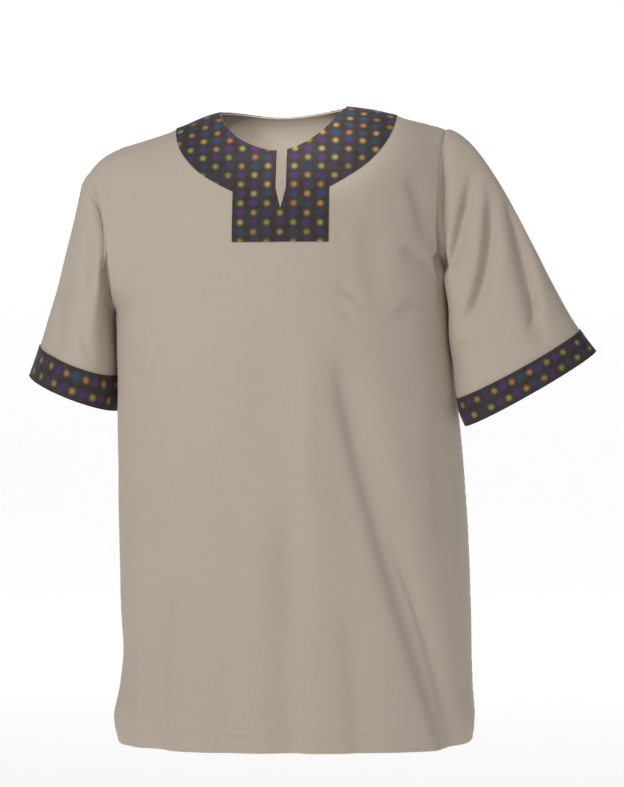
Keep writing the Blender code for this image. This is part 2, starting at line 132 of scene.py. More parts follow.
def curve_value(rows, key, value, at):
    """The value column where the key column is at, on a smooth curve through the rows."""
    x, y = rows[key], rows[value]
    slope = np.gradient(y, x)
    i = np.clip(np.searchsorted(x, at, side="right") - 1, 0, len(x) - 2)
    span = x[i + 1] - x[i]
    t = np.clip((at - x[i]) / span, 0.0, 1.0)
    start = (1 + 2 * t) * (1 - t) ** 2 * y[i] + t * (1 - t) ** 2 * span * slope[i]
    return start + t**2 * (3 - 2 * t) * y[i + 1] + t**2 * (t - 1) * span * slope[i + 1]


def shoulder_height(x):
    return curve_value(shoulder_line, "x", "height", x)


def ease(t):
    return t * t * (3 - 2 * t)


def unit(vectors):
    return vectors / np.maximum(np.linalg.norm(vectors, axis=-1, keepdims=True), 1e-12)


def armpit_height(across):
    return armpit_middle + armpit_lean * across


def below_armpits(face, across, up):
    """Points of the front or back below the armpits, up from 0 at the hem to 1."""
    across, up = np.broadcast_arrays(across, up)
    hem = hem_height + hem_corner_rise * across**8
    height = hem + (armpit_height(across) - hem) * up
    s = np.sin(abs(across) * math.pi / 2)
    left = curve_value(body_reach, "height", "left", height)
    right = curve_value(body_reach, "height", "right", height)
    vent = np.maximum(0.0, 1 - (height - hem_height) / vent_height) * s**8
    parted = vent_part * vent * (-1 if face == "front" else 1)
    bulge = curve_value(body_reach, "height", face, height) - side_seam_y
    x = s * (np.where(across > 0, left, right) + np.sign(across) * vent_flare * vent)
    y = side_seam_y + parted + bulge * np.maximum(1 - s * s, 0) ** body_roundness
    return np.stack([x, y, height], axis=-1)


def above_armpits(face, across, up):
    """Points of the front or back above the armpits, up from 0 there to 1 at the shoulder or neck."""
    across, up = np.broadcast_arrays(across, up)
    left = across > 0
    low = armpit_height(across)
    rise = (1 - np.cos(math.pi * up)) / 2
    neck_place = np.clip(across / neck_share, -1, 1)
    neck_x = curve_value(neckline, "across", "x_" + face, neck_place)
    dip = curve_value(neckline, "across", face, neck_place)
    tip = np.where(left, armhole[1]["front"][-1], armhole[-1]["front"][-1])
    top_x = neck_x + (tip - neck_x) * np.clip((abs(across) - neck_share) / (1 - neck_share), 0, 1)
    top = shoulder_height(top_x)
    part = rise * (top - dip - low) / (top - low)
    edge_x, turn = (
        np.where(left, *(curve_value(armhole[side], "rise", name, rise) for side in (1, -1)))
        for name in (face, "turn")
    )
    low_share = np.sin(abs(across) * math.pi / 2)
    share = low_share + (abs(top_x / tip) - low_share) * ease(up)
    chest = curve_value(body_reach, "height", face, low)
    power = shoulder_turn[face]
    middle_y = shoulder_y + (chest - shoulder_y) * np.maximum(1 - part**power, 0) ** (1 / power)
    s = share * turn
    roundness = body_roundness + (chest_roundness - body_roundness) * ease(up)
    y = side_seam_y + (middle_y - side_seam_y) * np.maximum(1 - s * s, 0) ** roundness
    return np.stack([share * edge_x, y, low + (top - low) * part], axis=-1)


# where the threads of the grid run: closer together beside every edge that is sewn or turned
edge_steps = np.array([0, 0.004, 0.009, 0.016, 0.026])
half_across = np.concatenate([edge_steps, np.linspace(0.038, 1, 78)])
across_lines = np.concatenate([half_across - 1, (1 - half_across)[-2::-1]])
hem_steps = np.array([0, 0.0015, 0.004, 0.008, 0.013, 0.020, 0.028, 0.034, 0.040]) * 1.6
below_lines = np.concatenate([hem_steps, np.linspace(0.072, 1, 136)[:-1]])
low_half = np.arccos(1 - 2 * np.linspace(0, 0.5, 38)) / math.pi
above_lines = np.concatenate([low_half[:-1], np.linspace(0.5, 0.985, 44), [0.991, 0.996, 1]])


def lay_panel(face):
    lower = below_armpits(face, across_lines[None, :], below_lines[:, None])
    upper = above_armpits(face, across_lines[None, :], above_lines[:, None])
    return np.concatenate([lower, upper])


def square_normals(grid, closed):
    ring = np.concatenate([grid, grid[:, :1]], axis=1) if closed else grid
    return np.cross(ring[1:, 1:] - ring[:-1, :-1], ring[1:, :-1] - ring[:-1, 1:])


def set_normals(sheets):
    """Outward normals at every point; where sheets are sewn together they share one."""
    shared = {}
    for sheet in sheets:
        grid = sheet["grid"]
        squares = square_normals(grid, sheet["closed"]) * sheet["outward"]
        sums = np.zeros_like(grid)
        for r, c in ((0, 0), (0, 1), (1, 0), (1, 1)):
            columns = (np.arange(squares.shape[1]) + c) % grid.shape[1]
            np.add.at(sums, (slice(r, r + len(squares)), columns), squares)
        sheet["sums"] = sums
        edge = np.zeros(grid.shape[:2], bool)
        edge[0] = edge[-1] = True
        if not sheet["closed"]:
            edge[:, 0] = edge[:, -1] = True
        sheet["edges"] = [
            (r, c, tuple(np.round(grid[r, c] * 1e6).astype(int))) for r, c in np.argwhere(edge)
        ]
        for r, c, key in sheet["edges"]:
            shared[key] = shared.get(key, 0) + sums[r, c]
    for sheet in sheets:
        for r, c, key in sheet["edges"]:
            sheet["sums"][r, c] = shared[key]
        sheet["normals"] = unit(sheet["sums"])


def run_of_cloth(grid):
    """How far each point lies along the cloth: across from the middle line, and up from the first row."""
    steps = np.linalg.norm(np.diff(grid, axis=1), axis=-1)
    sideways = np.concatenate([np.zeros((len(grid), 1)), np.cumsum(steps, axis=1)], axis=1)
    sideways -= sideways[:, grid.shape[1] // 2][:, None]
    steps = np.linalg.norm(np.diff(grid, axis=0), axis=-1)
    upward = np.concatenate([np.zeros((1, grid.shape[1])), np.cumsum(steps, axis=0)])
    return np.stack([sideways, upward], axis=-1)


def fold_depth(points, folds):
    """How far the folds press each point in: a soft trough with low shoulders, steeper on one side."""
    seen = points[..., [0, 2]]
    depth = np.zeros(points.shape[:-1])
    for i in range(len(folds["depth"])):
        a, b, c = (np.array([folds["x_" + k][i], folds["z_" + k][i]]) for k in "abc")
        bend = 2 * b - (a + c) / 2
        t = np.clip((seen - a) @ (c - a) / ((c - a) @ (c - a)), 0, 1)
        for _ in range(6):
            spot = (1 - t)[..., None] ** 2 * a + (2 * t * (1 - t))[..., None] * bend + t[..., None] ** 2 * c
            way = 2 * ((1 - t)[..., None] * (bend - a) + t[..., None] * (c - bend))
            t = np.clip(t + ((seen - spot) * way).sum(axis=-1) / (way * way).sum(axis=-1) * 0.8, 0, 1)
        offset = seen - spot
        side = (way[..., 0] * offset[..., 1] - way[..., 1] * offset[..., 0]) / np.linalg.norm(way, axis=-1)
        lean = 1 + folds["lean"][i] * np.tanh(side / folds["width"][i] * 2)
        away = np.linalg.norm(offset, axis=-1) / (folds["width"][i] * lean)
        fade = np.sin(np.clip(t * 3, 0, 1) * math.pi / 2) ** 2
        if folds["z_c"][i] > hem_height:
            fade = fade * np.sin(np.clip((1 - t) * 3, 0, 1) * math.pi / 2) ** 2
        depth += folds["depth"][i] * fade * (1 - 0.35 * away**2) * np.exp(-0.8 * away**2)
    return depth


front_folds = table(
    "x_a z_a x_b z_b x_c z_c width lean depth",
    (0.073, -0.280, 0.112, -0.470, 0.213, -0.790, 0.020, 0.35, 0.0105),
    (0.130, -0.510, 0.172, -0.620, 0.216, -0.790, 0.007, 0.40, 0.0036),
    (0.049, -0.270, 0.036, -0.390, 0.056, -0.640, 0.024, 0.20, -0.0050),
    (0.022, -0.450, 0.014, -0.600, 0.018, -0.790, 0.023, -0.20, 0.0080),
    (-0.135, -0.520, -0.148, -0.640, -0.150, -0.790, 0.028, -0.25, 0.0085),
    (-0.048, -0.440, -0.052, -0.560, -0.060, -0.790, 0.020, 0.20, 0.0030),
    (0.075, -0.560, 0.092, -0.680, 0.100, -0.790, 0.022, 0.30, 0.0038),
    (0.186, -0.330, 0.190, -0.430, 0.193, -0.540, 0.012, 0.20, 0.0045),
    (0.218, -0.660, 0.220, -0.710, 0.219, -0.790, 0.005, 0.00, 0.0016),
    (0.066, -0.212, 0.084, -0.226, 0.106, -0.236, 0.008, 0.30, 0.0024),
    (0.058, -0.236, 0.078, -0.246, 0.094, -0.266, 0.007, 0.20, 0.0016),
    (-0.110, -0.226, -0.086, -0.231, -0.060, -0.232, 0.009, 0.20, 0.0020),
    (-0.200, -0.222, -0.178, -0.196, -0.150, -0.180, 0.009, 0.30, 0.0036),
    (-0.200, -0.250, -0.176, -0.232, -0.140, -0.224, 0.008, 0.30, 0.0028),
    (-0.195, -0.300, -0.170, -0.330, -0.160, -0.370, 0.012, 0.20, 0.0030),
    (0.186, -0.205, 0.166, -0.182, 0.140, -0.172, 0.010, 0.30, 0.0036),
    (0.190, -0.245, 0.160, -0.240, 0.130, -0.262, 0.009, 0.25, 0.0032),
    (0.150, -0.075, 0.166, -0.120, 0.176, -0.170, 0.013, 0.30, 0.0036),
    (-0.178, -0.075, -0.184, -0.120, -0.188, -0.165, 0.013, -0.30, 0.0028),
    (-0.110, -0.120, -0.128, -0.200, -0.120, -0.300, 0.020, 0.20, 0.0024),
    (0.115, -0.115, 0.110, -0.190, 0.125, -0.260, 0.018, 0.20, 0.0020),
    (-0.020, -0.230, -0.016, -0.330, -0.034, -0.450, 0.022, 0.20, 0.0025),
    (-0.190, -0.620, -0.186, -0.690, -0.188, -0.790, 0.008, 0.20, 0.0022),
    (0.196, -0.030, 0.190, -0.140, 0.189, -0.262, 0.0048, 0.45, 0.0105),
    (0.231, -0.060, 0.212, -0.150, 0.194, -0.205, 0.009, 0.30, 0.0095),
    (0.183, -0.172, 0.187, -0.188, 0.191, -0.206, 0.005, 0.20, 0.0060),
    (0.248, -0.075, 0.243, -0.190, 0.212, -0.275, 0.010, 0.35, 0.0120),
    (0.266, -0.085, 0.292, -0.187, 0.313, -0.300, 0.011, -0.25, 0.0105),
    (0.300, -0.215, 0.300, -0.245, 0.294, -0.280, 0.005, 0.20, 0.0028),
    (0.250, -0.279, 0.230, -0.285, 0.206, -0.288, 0.005, 0.30, 0.0030),
    (-0.268, -0.180, -0.275, -0.250, -0.276, -0.310, 0.011, 0.20, 0.0050),
    (-0.243, -0.080, -0.2165, -0.160, -0.211, -0.300, 0.0046, -0.30, 0.0085),
    (-0.250, -0.240, -0.240, -0.280, -0.232, -0.310, 0.007, 0.20, 0.0024),
    (-0.228, -0.130, -0.236, -0.190, -0.236, -0.250, 0.009, 0.20, 0.0030),
)
back_folds = table(
    "x_a z_a x_b z_b x_c z_c width lean depth",
    (-0.085, -0.210, -0.070, -0.440, 0.010, -0.790, 0.023, 0.30, 0.0085),
    (-0.030, -0.560, -0.008, -0.670, 0.004, -0.790, 0.009, 0.30, 0.0022),
    (0.085, -0.430, 0.105, -0.610, 0.110, -0.790, 0.025, -0.25, 0.0075),
    (-0.140, -0.500, -0.160, -0.640, -0.150, -0.790, 0.026, 0.25, 0.0065),
    (0.020, -0.160, 0.034, -0.330, 0.050, -0.560, 0.026, 0.20, -0.0040),
    (-0.120, -0.300, -0.110, -0.400, -0.100, -0.480, 0.016, 0.20, 0.0025),
    (0.160, -0.330, 0.170, -0.450, 0.176, -0.600, 0.016, 0.25, 0.0035),
    (0.185, -0.215, 0.160, -0.190, 0.120, -0.182, 0.011, 0.30, 0.0028),
    (0.188, -0.250, 0.150, -0.245, 0.115, -0.262, 0.010, 0.30, 0.0024),
    (-0.198, -0.220, -0.170, -0.192, -0.130, -0.180, 0.011, 0.30, 0.0028),
    (-0.200, -0.255, -0.165, -0.250, -0.130, -0.270, 0.010, 0.30, 0.0022),
    (-0.060, -0.110, 0.000, -0.135, 0.065, -0.112, 0.014, 0.20, 0.0020),
    (0.130, -0.090, 0.150, -0.130, 0.160, -0.180, 0.014, 0.30, 0.0022),
    (-0.150, -0.090, -0.165, -0.130, -0.170, -0.180, 0.014, 0.30, 0.0020),
    (0.050, -0.600, 0.060, -0.690, 0.056, -0.790, 0.016, 0.20, 0.0028),
    (0.195, -0.620, 0.200, -0.700, 0.202, -0.790, 0.010, 0.20, 0.0020),
    (-0.185, -0.600, -0.184, -0.700, -0.186, -0.790, 0.010, 0.20, 0.0018),
    (0.230, -0.070, 0.226, -0.190, 0.210, -0.268, 0.011, 0.30, 0.0080),
    (0.258, -0.100, 0.280, -0.190, 0.303, -0.290, 0.012, 0.25, 0.0065),
    (0.198, -0.040, 0.194, -0.130, 0.190, -0.225, 0.006, 0.40, 0.0050),
    (-0.246, -0.120, -0.262, -0.200, -0.268, -0.290, 0.012, 0.20, 0.0052),
    (-0.226, -0.110, -0.214, -0.180, -0.212, -0.240, 0.007, 0.20, 0.0040),
)


def crumple(points, normals):
    """Presses the folds into the cloth, and the slight waves that worn cotton keeps everywhere."""
    facing = np.clip(-normals[..., 1] * 2, -1, 1)
    depth = fold_depth(points, front_folds) * np.clip(facing, 0, 1)
    depth += fold_depth(points, back_folds) * np.clip(-facing, 0, 1)
    flat = points.reshape(-1, 3)
    waves = [
        0.0011 * noise.noise((p[0] * 11 + 4, p[1] * 11, p[2] * 7))
        + 0.0005 * noise.noise((p[0] * 30, p[1] * 30 + 7, p[2] * 22))
        for p in flat
    ]
    return points - normals * (depth + np.array(waves).reshape(depth.shape))[..., None]


def pucker(sheet, away, along, size=0.0004, pitch=0.011, reach=0.010, dip=0.0009):
    """Along a row of stitches the cloth sinks to the seam, and ripples a little and unevenly beside it."""
    ripple = np.sin(along / pitch * 2 * math.pi + 2.2 * np.sin(along * 37) + 1.3 * np.sin(along * 91 + 1))
    strength = 0.65 + 0.35 * np.sin(along * 23 + 0.7)
    near = np.exp(-((away / reach) ** 2)) * (1 - np.exp(-((away / 0.002) ** 2)))
    sink = dip * np.exp(-((away / 0.0022) ** 2)) - size * ripple * strength * near
    sheet["grid"] = sheet["grid"] - sheet["normals"] * sink[..., None]


# the yoke's outer edge, from the middle of the slit outwards, each side a little higher or lower
slit_middle = 0.003
yoke_lean = 0.05
tab_half_width = 0.0565
tab_foot = -0.165
yoke_edge = table(
    "part out height",
    (0.0, 0.0565, -0.1025),
    (0.2, 0.0742, -0.0925),
    (0.4, 0.0950, -0.0790),
    (0.6, 0.1125, -0.0620),
    (0.8, 0.1255, -0.0420),
    (1.0, 0.1320, -0.0200),
    (1.3, 0.1335, 0.0200),
)


def run_along(line):
    """How far along a line of points each of them lies."""
    return np.concatenate([[0], np.cumsum(np.linalg.norm(np.diff(line, axis=0), axis=1))])


def evenly(line, count, shares=None):
    """That many points along a line of points, at even distances or at the given shares of its length."""
    line = np.array(line)
    run = run_along(line)
    at = (np.linspace(0, 1, count) if shares is None else shares) * run[-1]
    return np.stack([np.interp(at, run, line[:, k]) for k in range(line.shape[1])], axis=1)


def yoke_curve(side):
    """The curved part of the yoke's outer edge on one side, from the shoulder line down to the tab."""
    parts = np.linspace(1.3, 0, 160)
    out = curve_value(yoke_edge, "part", "out", parts)
    height = curve_value(yoke_edge, "part", "height", parts) + side * yoke_lean * out
    curve = np.stack([slit_middle + side * out, height], axis=1)
    curve = curve[height < shoulder_height(curve[:, 0])]
    curve[0, 1] = shoulder_height(curve[:1, 0])[0]
    return curve


def from_line(places, line):
    """How far each place is from a line of points, and how far along the line that is."""
    run = run_along(line)
    apart = np.linalg.norm(places[..., None, :] - line, axis=-1)
    return apart.min(axis=-1), run[apart.argmin(axis=-1)]


front = {"grid": lay_panel("front"), "closed": False, "outward": 1}
back = {"grid": lay_panel("back"), "closed": False, "outward": -1}
below_count = len(below_lines)

cuff = {
    -1: {
        "middle": (-0.2620, 0.0490, -0.3400),
        "to_top": (-0.93, 0.0, 0.37),
        "to_front": (0.0, -0.993, -0.12),
        "half_width": 0.0580,
        "half_depth": 0.0720,
        "flare": 0.0,
    },
    1: {
        "middle": (0.2968, -0.0340, -0.3370),
        "to_top": (0.8711, 0.0, 0.4913),
        "to_front": (0.0, -0.984, -0.18),
        "half_width": 0.0885,
        "half_depth": 0.0440,
        "flare": 0.18,
    },
}
sleeve_leaves = {
    -1: table(
        "rise x spread lean down firm",
        (0.0, -1.00, 0.00, 0.00, 0.05, 0.25),
        (0.2, -0.70, 0.15, 0.00, 0.60, 0.38),
        (0.5, -0.55, 0.20, 0.00, 0.80, 0.45),
        (1.0, -0.20, 0.00, 0.00, 0.98, 0.45),
    ),
    1: table(
        "rise x spread lean down firm",
        (0.0, 0.60, 0.00, 0.50, 0.60, 0.33),
        (0.2, 0.40, 0.34, 0.18, 0.84, 0.40),
        (0.5, 0.75, 0.20, 0.00, 0.60, 0.45),
        (1.0, 1.00, 0.00, 0.00, 0.00, 0.50),
    ),
}
sleeve_ends_firm = 0.877
band_width = {-1: 0.034, 1: 0.029}
band_rows = 14


def lay_sleeve(side):
    """The sleeve from the armhole to its end: the columns run round it from the armpit, front first."""
    edge = -1 if side > 0 else 0
    start = np.concatenate([front["grid"][below_count:, edge], back["grid"][below_count:, edge][-2:0:-1]])
    ups = np.concatenate([above_lines, above_lines[-2:0:-1]])
    faces = np.concatenate([np.ones(len(above_lines)), -np.ones(len(above_lines) - 2)])
    angle = math.pi * (ups - 0.5)
    end = cuff[side]
    to_top, to_front = unit(np.array(end["to_top"])), unit(np.array(end["to_front"]))
    ring = (
        np.array(end["middle"])
        + end["half_width"] * np.sin(angle)[:, None] * to_top
        + end["half_depth"] * (faces * np.cos(angle))[:, None] * to_front
    )
    rise = (1 + np.sin(angle)) / 2
    x, spread, lean, down, firm = (
        curve_value(sleeve_leaves[side], "rise", name, rise)
        for name in ("x", "spread", "lean", "down", "firm")
    )
    length = np.linalg.norm(ring - start, axis=1)[:, None]
    leave = unit(np.stack([x, -faces * spread - lean, -down], axis=1)) * firm[:, None] * length
    flare = end["flare"] * np.clip(np.sin(angle), 0, 1)[:, None]
    arrive = unit(side * np.cross(to_top, to_front) + flare * to_top) * sleeve_ends_firm * length
    band_starts = 1 - band_width[side] / (sleeve_ends_firm * length)
    lines = [band_starts * t for t in (0, 0.006, 0.013, 0.022, 0.034)]
    lines += [band_starts * t for t in np.linspace(0.05, 1, 60)[:-1]]
    lines += [band_starts + (1 - band_starts) * t for t in np.linspace(0, 1, band_rows + 1)]
    return np.array(
        [
            (1 + 2 * t) * (1 - t) ** 2 * start
            + t * (1 - t) ** 2 * leave
            + t**2 * (3 - 2 * t) * ring
            + t**2 * (t - 1) * arrive
            for t in lines
        ]
    )


sleeve = {
    1: {"grid": lay_sleeve(1), "closed": True, "outward": -1},
    -1: {"grid": lay_sleeve(-1), "closed": True, "outward": 1},
}
sheets = [front, back, sleeve[1], sleeve[-1]]
set_normals(sheets)
for sheet in sheets:
    sheet["folded"] = crumple(sheet["grid"], sheet["normals"])
# below the armpit the wearer's left sleeve hangs against the shirt's side
touch_height, touch_reach, touch_shift, rows_to_touch = -0.274, 0.032, 0.0052, 12
tube = sleeve[1]
past_seam = np.clip(np.arange(len(tube["grid"])) / rows_to_touch, 0, 1)[:, None]
inner_side = np.clip(-tube["normals"][..., 0], 0, 1) * past_seam
beside_shirt = np.exp(-(((tube["grid"][..., 2] - touch_height) / touch_reach) ** 2))
tube["folded"][..., 0] -= touch_shift * inner_side * beside_shirt
for sheet in sheets:
    sheet["grid"] = sheet.pop("folded")
    sheet["run"] = run_of_cloth(sheet["grid"])
set_normals(sheets)
for panel in (front, back):
    run = panel["run"]
    from_side = np.minimum(run[..., 0] - run[:, :1, 0], run[:, -1:, 0] - run[..., 0])
    from_top = np.where(abs(across_lines) > neck_share, run[-1:, :, 1] - run[..., 1], 1.0)
    pucker(panel, from_side, run[..., 1])
    pucker(panel, from_top, run[..., 0], size=0.0003)
for side in (1, -1):
    tube = sleeve[side]
    round_run = tube["run"][..., 0]
    pucker(tube, tube["run"][..., 1], round_run[:1] + 0 * round_run, size=0.0006, reach=0.014, dip=0.0012)
    from_underarm = np.minimum(round_run - round_run[:, :1], round_run[:, -1:] - round_run + 0.002)
    pucker(tube, from_underarm, tube["run"][..., 1], size=0.0002)
    from_band = abs(tube["run"][..., 1] - tube["run"][-1 - band_rows, :, 1])
    pucker(tube, from_band, round_run, size=0.0004, reach=0.009, dip=0.0)
hem_turn = 0.022
for panel in (front, back):
    pucker(panel, abs(panel["run"][..., 1] - hem_turn), panel["run"][..., 0], size=0.0003, dip=0.0005)
corners = [[slit_middle + side * tab_half_width, tab_foot] for side in (-1, 1)]
sewn_line = evenly([*yoke_curve(-1), *corners, *yoke_curve(1)[::-1]], 700)
away, along = from_line(front["grid"][..., [0, 2]], sewn_line)
pucker(front, away, along, size=0.0005, pitch=0.009, reach=0.008, dip=0.0)
front["grid"] += front["normals"] * (0.0006 * np.exp(-(((away - 0.004) / 0.0035) ** 2)))[..., None]
set_normals(sheets)


def add_object(name, data):
    made = bpy.data.objects.new(name, data)
    bpy.context.scene.collection.objects.link(made)
    return made


def add_mesh(name, verts, faces, layer_name, places):
    """A smooth mesh object whose vertices each have a place on the cloth or along the thread."""
    mesh = bpy.data.meshes.new(name)
    mesh.from_pydata(verts.tolist(), [], faces)
    mesh.shade_smooth()
    corners = np.empty(len(mesh.loops), int)
    mesh.loops.foreach_get("vertex_index", corners)
    layer = mesh.uv_layers.new(name=layer_name)
    layer.data.foreach_set("uv", places[corners].astype(np.float32).ravel())
    return add_object(name, mesh)


def cloth_shell(name, grid, normals, run, low, high, closed=False, slit=None):
    """A closed shell between two distances from the sheet, with a softly rounded edge all round."""
    rows, columns = grid.shape[:2]
    points, ups, places = grid.reshape(-1, 3), normals.reshape(-1, 3), run.reshape(-1, 2)
    index = np.arange(rows * columns).reshape(rows, columns)
    left, right = index.copy(), index.copy()
    if slit:
        column, first = slit["column"], slit["first_row"]
        spare = len(points) + np.arange(rows - first)
        points = np.concatenate([points, slit["other_edge"]])
        ups = np.concatenate([ups, normals[first:, column]])
        places = np.concatenate([places, run[first:, column]])
        right[first:, column] = spare
    spans = range(columns if closed else columns - 1)
    quads = []
    for c in spans:
        near = right if slit and c >= slit["column"] else left
        far = (c + 1) % columns
        quads.append(np.stack([near[:-1, c], near[:-1, far], near[1:, far], near[1:, c]], axis=1))
    quads = np.concatenate(quads)
    a, b, c = points[quads[0, 0]], points[quads[0, 1]], points[quads[0, 3]]
    if np.cross(b - a, c - a) @ ups[quads[0, 0]] < 0:
        quads = quads[:, ::-1]
    edges = np.concatenate([quads[:, [k, (k + 1) % 4]] for k in range(4)])
    _, first_seen, counts = np.unique(np.sort(edges, axis=1), axis=0, return_index=True, return_counts=True)
    rim = edges[first_seen[counts == 1]]
    outward = np.zeros_like(points)
    for a, b in rim:
        way = np.cross(points[b] - points[a], ups[a] + ups[b])
        outward[a] += way
        outward[b] += way
    on_rim = np.unique(rim)
    bulge = 0.3 * (high - low)
    middle = points[on_rim] + ups[on_rim] * (low + high) / 2 + unit(outward[on_rim]) * bulge
    count = len(points)
    slot_of = np.zeros(count, int)
    slot_of[on_rim] = np.arange(len(on_rim)) + 2 * count
    verts = np.concatenate([points + ups * high, points + ups * low, middle])
    all_places = np.concatenate([places, places, places[on_rim]])
    faces = [*quads.tolist(), *(quads[:, ::-1] + count).tolist()]
    for a, b in rim:
        faces.append([b, a, slot_of[a], slot_of[b]])
        faces.append([slot_of[b], slot_of[a], a + count, b + count])
    return add_mesh(name, verts, [list(map(int, f)) for f in faces], "cloth", all_places)


def node(tree, kind, inputs=(), **settings):
    """A shader node with its settings, and its inputs linked or set in order."""
    made = tree.nodes.new(kind)
    for key, value in settings.items():
        setattr(made, key, value)
    for place, value in enumerate(inputs):
        if value is None:
            continue
        if isinstance(value, bpy.types.NodeSocket):
            tree.links.new(value, made.inputs[place])
        else:
            made.inputs[place].default_value = value
    return made


def maths(tree, operation, *values):
    return node(tree, "ShaderNodeMath", values, operation=operation).outputs[0]


def mix(tree, share, one, other):
    """The colour that lies between two others, by that share."""
    return node(tree, "ShaderNodeMix", [share, *[None] * 5, one, other], data_type="RGBA").outputs[2]


def node_group(name, *sockets):
    group = bpy.data.node_groups.new(name, "ShaderNodeTree")
    for label, in_out, kind in sockets:
        group.interface.new_socket(label, in_out=in_out, socket_type="NodeSocket" + kind)
    return group, group.nodes.new("NodeGroupInput").outputs, group.nodes.new("NodeGroupOutput").inputs


def relief(tree, height, strength, distance):
    """Raises the surface by that height, as light and shade only."""
    bump = node(tree, "ShaderNodeBump")
    bump.inputs["Strength"].default_value = strength
    bump.inputs["Distance"].default_value = distance
    tree.links.new(height, bump.inputs["Height"])
    tree.links.new(bump.outputs[0], tree.nodes["Principled BSDF"].inputs["Normal"])


def cotton(name, thread_count, slubbing, tint_share, rough, colour_of, looks, relief_size):
    """Woven cotton in the colour that colour_of gives for a place, tinted and roughened by its weave."""
    made = bpy.data.materials.new(name)
    made.use_nodes = True
    tree = made.node_tree
    inputs = tree.nodes["Principled BSDF"].inputs
    place = node(tree, "ShaderNodeUVMap", uv_map="cloth").outputs[0]
    woven = node(tree, "ShaderNodeGroup", [place, thread_count, slubbing], node_tree=weave).outputs
    tint = maths(tree, "MULTIPLY_ADD", woven[1], tint_share, 1.0)
    tinted = node(tree, "ShaderNodeVectorMath", [colour_of(tree, place), tint], operation="MULTIPLY")
    tree.links.new(tinted.outputs[0], inputs["Base Color"])
    tree.links.new(maths(tree, "MULTIPLY_ADD", woven[1], *rough), inputs["Roughness"])
    for key, value in looks.items():
        inputs[key].default_value = value
    relief(tree, woven[0], *relief_size)
    return made


# the weave shared by both cloths: threads over and under, thicker and thinner ones, as a height and a tint
weave, weave_in, weave_out = node_group(
    "plain_weave",
    ("Place on cloth", "INPUT", "Vector"),
    ("Threads per metre", "INPUT", "Float"),
    ("Slubs", "INPUT", "Float"),
    ("Height", "OUTPUT", "Float"),
    ("Tint", "OUTPUT", "Float"),
)
apart = node(weave, "ShaderNodeSeparateXYZ", [weave_in[0]]).outputs
warp, weft = (
    maths(weave, "SINE", maths(weave, "MULTIPLY", maths(weave, "MULTIPLY", way, weave_in[1]), math.pi))
    for way in apart[:2]
)
over = maths(weave, "MULTIPLY", warp, weft)
warp_top, weft_top = (
    maths(weave, "MULTIPLY", maths(weave, "ABSOLUTE", yarn), maths(weave, "MULTIPLY_ADD", over, side, 0.5))
    for yarn, side in ((warp, 0.5), (weft, -0.5))
)
threads = maths(weave, "MAXIMUM", warp_top, weft_top)
slub_noises = []
for stretch in ((1400, 45, 1), (38, 1400, 1)):
    stretched = node(weave, "ShaderNodeVectorMath", [weave_in[0], stretch], operation="MULTIPLY").outputs[0]
    slub_noises.append(node(weave, "ShaderNodeTexNoise", [stretched, None, 1.0, 2.0]).outputs[0])
slubs = maths(weave, "SUBTRACT", maths(weave, "ADD", *slub_noises), 1.0)
slubs = maths(weave, "MULTIPLY", slubs, weave_in[2])
weave.links.new(maths(weave, "MULTIPLY_ADD", threads, 0.5, slubs), weave_out[0])
weave.links.new(slubs, weave_out[1])


def oatmeal(tree, place):
    patches = node(tree, "ShaderNodeTexNoise", [place, None, 9.0, 3.0, 0.55]).outputs[0]
    return mix(tree, patches, (0.455, 0.405, 0.325, 1), (0.480, 0.395, 0.325, 1))


body_cotton = cotton(
    "oatmeal_cotton", 1700, 0.55, 0.22, (0.10, 0.86), oatmeal,
    {
        "Sheen Weight": 0.18,
        "Sheen Roughness": 0.5,
        "Sheen Tint": (0.95, 0.90, 0.82, 1),
        "Specular IOR Level": 0.25,
    },
    (0.35, 0.00025),
)

slit_half = 0.0065
slit_shoulder = -0.101
slit_foot = -0.127
half_cloth = cloth_thickness / 2
# the middle line is drawn a little sideways with the slit, and the cloth beside the slit is pushed apart
drawn_reach, drawn_foot, drawn_height, pushed_reach = 0.06, -0.40, 0.25, 0.035

front_grid = front["grid"].copy()
fade_down = np.clip((front_grid[..., 2] - drawn_foot) / drawn_height, 0, 1)
front_grid[..., 0] += slit_middle * np.exp(-((front_grid[..., 0] / drawn_reach) ** 2)) * ease(fade_down)
middle = front_grid.shape[1] // 2
opening = slit_half * np.clip((front_grid[:, middle, 2] - slit_foot) / (slit_shoulder - slit_foot), 0, 1)
from_slit = front_grid[..., 0] - front_grid[:, middle : middle + 1, 0]
pushed = opening[:, None] * np.clip(1 - abs(from_slit) / pushed_reach, 0, 1)
slit_row = int(np.argmax(front_grid[:, middle, 2] > slit_foot))
other_edge = front_grid[slit_row:, middle] + np.array([1, 0, 0]) * opening[slit_row:, None]
side_of_slit = np.where(np.arange(front_grid.shape[1]) > middle, 1, -1)
front_grid[..., 0] += side_of_slit * pushed
front_piece = cloth_shell(
    "shirt_front",
    front_grid,
    front["normals"],
    front["run"],
    -half_cloth,
    half_cloth,
    slit={"column": middle, "first_row": slit_row, "other_edge": other_edge},
)
front_piece.data.materials.append(body_cotton)
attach(front_piece, "root")
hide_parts("front_panel")


# Back of the shirt: one piece of the same cotton, with a neckline only slightly scooped, sewn to the
# front along the shoulders and down both sides to the vents. It is filled out as if worn.
back_piece = cloth_shell("shirt_back", back["grid"], back["normals"], back["run"], -half_cloth, half_cloth)
back_piece.data.materials.append(body_cotton)
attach(back_piece, "root")
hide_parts("back_panel")


